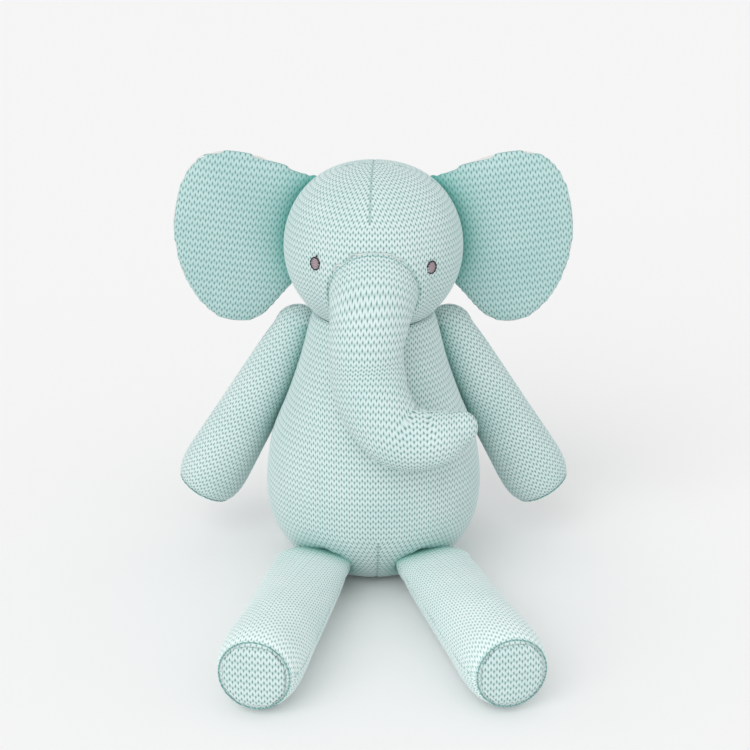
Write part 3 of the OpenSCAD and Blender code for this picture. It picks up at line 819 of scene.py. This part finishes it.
def yarnRing(name, radius, thick, where, material, plies=2.2):
    # A closed ring of twisted yarn round Z, in mm; plies is its turns of twist in each 10 mm
    bm = bmesh.new()
    steps = max(48, int(radius * 6))
    turns = round(2 * math.pi * radius / 10 * plies)
    made = bmesh.ops.create_circle(bm, segments=8, radius=thick,
                                   matrix=Matrix.Translation((radius, 0, 0)) @ Matrix.Rotation(math.pi / 2, 4, "X"))
    bmesh.ops.spin(bm, geom=made["verts"] + bm.edges[:], cent=(0, 0, 0), axis=(0, 0, 1), angle=2 * math.pi,
                   steps=steps, use_merge=True)
    for v in bm.verts:
        along = math.atan2(v.co.y, v.co.x)
        middle = Vector((radius * math.cos(along), radius * math.sin(along), 0))
        off = v.co - middle
        turn = math.atan2(v.co.z, math.hypot(v.co.x, v.co.y) - radius)
        v.co = middle + off * (1 + 0.22 * math.sin(2 * turn + along * turns))
    bm.transform(where)
    return meshObject(bm, name, material, merge=0.000001)


def threadStitches(name, strands, thick, material):
    # Each strand goes from one point to another in mm, bowed out along its third vector
    bm = bmesh.new()
    for a, b, out in strands:
        a, b, out = Vector(a), Vector(b), Vector(out)
        run = (b - a).length
        turn = (b - a).to_track_quat("Z", "X").to_matrix().to_4x4()
        size = Matrix.Diagonal((thick, thick, run / 2 + thick * 0.5, 1))
        made = bmesh.ops.create_uvsphere(bm, u_segments=8, v_segments=8, radius=1.0,
                                         matrix=Matrix.Translation((a + b) / 2) @ turn @ size)
        for v in made["verts"]:
            t = (v.co - (a + b) / 2).dot((b - a).normalized()) / max(run / 2, 0.1)
            v.co += out * (1 - min(t * t, 1.2))
    bm.transform(toMetres)
    return meshObject(bm, name, material, merge=0.0000001)


def addThread(piece, body, slotName, *stoodFor):
    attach(piece, body)
    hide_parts(*stoodFor)


# Seam yarn: round the pads, at the neck, round the trunk's root and up the back. thick is a yarn's radius in mm
seams = {"pad": {"thick": 0.42, "sunk": 1.9, "wider": 0.2}, "neck": {"thick": 1.9, "plies": 0.8, "inside": 2.2},
         "trunk": {"thick": 0.42, "inside": 0.1}, "ladder": {"thick": 0.5, "stitches": 9, "half": 2.4, "slant": 0.8}}
for padName, facts in pads.items():
    limb = limbs[facts["limb"]]
    seamName = padName.replace("paw_pad", "paw_seam").replace("sole", "sole_seam")
    for sideName, sign in sides:
        look = seams["pad"]
        where = limbPlaces[facts["limb"], sideName] @ Matrix.Translation((0, 0, limb["length"] - look["sunk"]))
        ring = yarnRing(f"{seamName}_yarn_{sideName}", facts["radius"] + look["wider"], look["thick"], where,
                        tealThread)
        addThread(ring, f"{facts['limb']}_{sideName}", "teal_thread", f"{seamName}_{sideName}")
low, high = boxOf("neck_seam")
look = seams["neck"]
ring = yarnRing("neck_seam_yarn", (high[0] - low[0]) / 2 - look["inside"], look["thick"],
                toMetres @ Matrix.Translation((0, 0, (low[2] + high[2]) / 2)), tealThread, plies=look["plies"])
bodies = frame["record"]["behaviour"]["bodies"]
addThread(ring, [body for body, nodes in bodies.items() if "neck_seam" in nodes][0], "teal_thread", "neck_seam")
rimAt = headAt + trunkWay * lipRadius * math.cos(lipEdge)
look = seams["trunk"]
ring = yarnRing("trunk_seam_yarn", lipRadius * math.sin(lipEdge) - look["inside"], look["thick"],
                place(rimAt, trunkWay, (0, 0, 1)), tealThread)
addThread(ring, "head", "teal_thread", "trunk_seam")
low, high = boxOf("closing_seam")
ladder, look = [], seams["ladder"]
for i in range(look["stitches"]):
    z = low[2] + 0.5 + (high[2] - low[2] - 1) * i / (look["stitches"] - 1)
    y = np.interp(z, torsoLine[:, 1], torsoLine[:, 0]) + 0.3
    ladder.append(((-look["half"], y, z), (look["half"], y, z + look["slant"]), (0, 0.5, 0)))
stitches = threadStitches("closing_seam_stitches", ladder, look["thick"], tealThread)
addThread(stitches, "torso", "teal_thread", "closing_seam")

# Eyes: upright ovals of satin stitch inside short back stitches; the right one keeps a loose thread end
eye = {"halfWide": 3.6, "halfHigh": 4.0, "satin": 0.36, "rows": 13, "outline": 12, "line": 0.5}
for sideName, sign in sides:
    low, high = boxOf(f"eye_{sideName}")
    middle = (low + high) / 2
    out = (middle - headAt) / np.linalg.norm(middle - headAt)
    across = np.cross((0, 0, 1), out)
    across /= np.linalg.norm(across)
    up = np.cross(out, across)

    def onFace(x, y, lift):
        p = middle + across * x + up * y - headAt
        return headAt + p / np.linalg.norm(p) * (headRadius + lift)

    rows = []
    for i in range(eye["rows"]):
        y = (i - (eye["rows"] - 1) / 2) * 2 * (eye["halfHigh"] - 0.5) / eye["rows"]
        x = (eye["halfWide"] - 0.3) * math.sqrt(max(0, 1 - (y / eye["halfHigh"]) ** 2))
        rows.append((onFace(-x, y - 0.2, 0.25), onFace(x, y + 0.2, 0.25), out * 0.25))
    satin = threadStitches(f"eye_satin_{sideName}", rows, eye["satin"], mauveThread)
    addThread(satin, "head", "grey_mauve_thread", f"eye_{sideName}")
    back = []
    for i in range(eye["outline"]):
        a, b = (2 * math.pi * (i + k) / eye["outline"] for k in (0.06, 0.94))
        back.append((onFace(eye["halfWide"] * math.cos(a), eye["halfHigh"] * math.sin(a), 0.45),
                     onFace(eye["halfWide"] * math.cos(b), eye["halfHigh"] * math.sin(b), 0.45), out * 0.3))
    if sideName == "right":
        back.append((onFace(0.6, eye["halfHigh"] + 0.3, 0.4), onFace(1.6, eye["halfHigh"] + 1.6, 0.5), out * 0.1))
    outline = threadStitches(f"eye_outline_stitches_{sideName}", back, eye["line"], darkThread)
    addThread(outline, "head", "dark_thread", f"eye_outline_{sideName}")
for name, node in cadNodes.items():
    if "knot" in name:
        node.data.materials.clear()
        node.data.materials.append(tealThread)
print("thread laid")

# Floor, light and camera: a pale room with a broad key light from the upper left of the view
studio = {"floor": "#F4F4F4", "floorHalf": 9.0, "world": 0.77, "key": 1.12, "keySpread": 50.0,
          "fill": 0.25, "fillSpread": 80.0}
bm = bmesh.new()
bmesh.ops.create_grid(bm, x_segments=8, y_segments=8, size=studio["floorHalf"])
floor = meshObject(bm, "floor", bpy.data.materials.new("floor_paper"))
floor.data.materials[0].use_nodes = True
paper = floor.data.materials[0].node_tree.nodes["Principled BSDF"]
paper.inputs["Base Color"].default_value = toLinear(studio["floor"])
paper.inputs["Roughness"].default_value = 0.95
paper.inputs["Specular IOR Level"].default_value = 0.1

world = bpy.data.worlds.new("studio")
bpy.context.scene.world = world
world.use_nodes = True
world.node_tree.nodes["Background"].inputs[0].default_value = (1.0, 1.0, 1.0, 1)
world.node_tree.nodes["Background"].inputs[1].default_value = studio["world"]


def softLight(name, comesFrom, spread, power):
    data = bpy.data.lights.new(name, "SUN")
    data.angle, data.energy = math.radians(spread), power
    lamp = bpy.data.objects.new(name, data)
    lamp.rotation_euler = (-Vector(comesFrom)).to_track_quat("-Z", "Y").to_euler()
    bpy.context.scene.collection.objects.link(lamp)


softLight("key_light", (-0.5, -0.9, 0.75), studio["keySpread"], studio["key"])
softLight("fill_light", (0.8, -0.9, 0.6), studio["fillSpread"], studio["fill"])

view = {"aim": (0.001, 0.0, 0.131), "distance": 1.2, "elevation": 20.0, "lens": 87.0}
rise = math.radians(view["elevation"])
camera = bpy.data.objects.new("camera", bpy.data.cameras.new("camera"))
camera.location = Vector(view["aim"]) + view["distance"] * Vector((0, -math.cos(rise), math.sin(rise)))
camera.rotation_euler = (math.pi / 2 - rise, 0, 0)
camera.data.lens = view["lens"]
camera.data.sensor_width = 36.0
bpy.context.scene.collection.objects.link(camera)
bpy.context.scene.camera = camera
bpy.context.scene.view_settings.view_transform = "Standard"
print("studio ready")
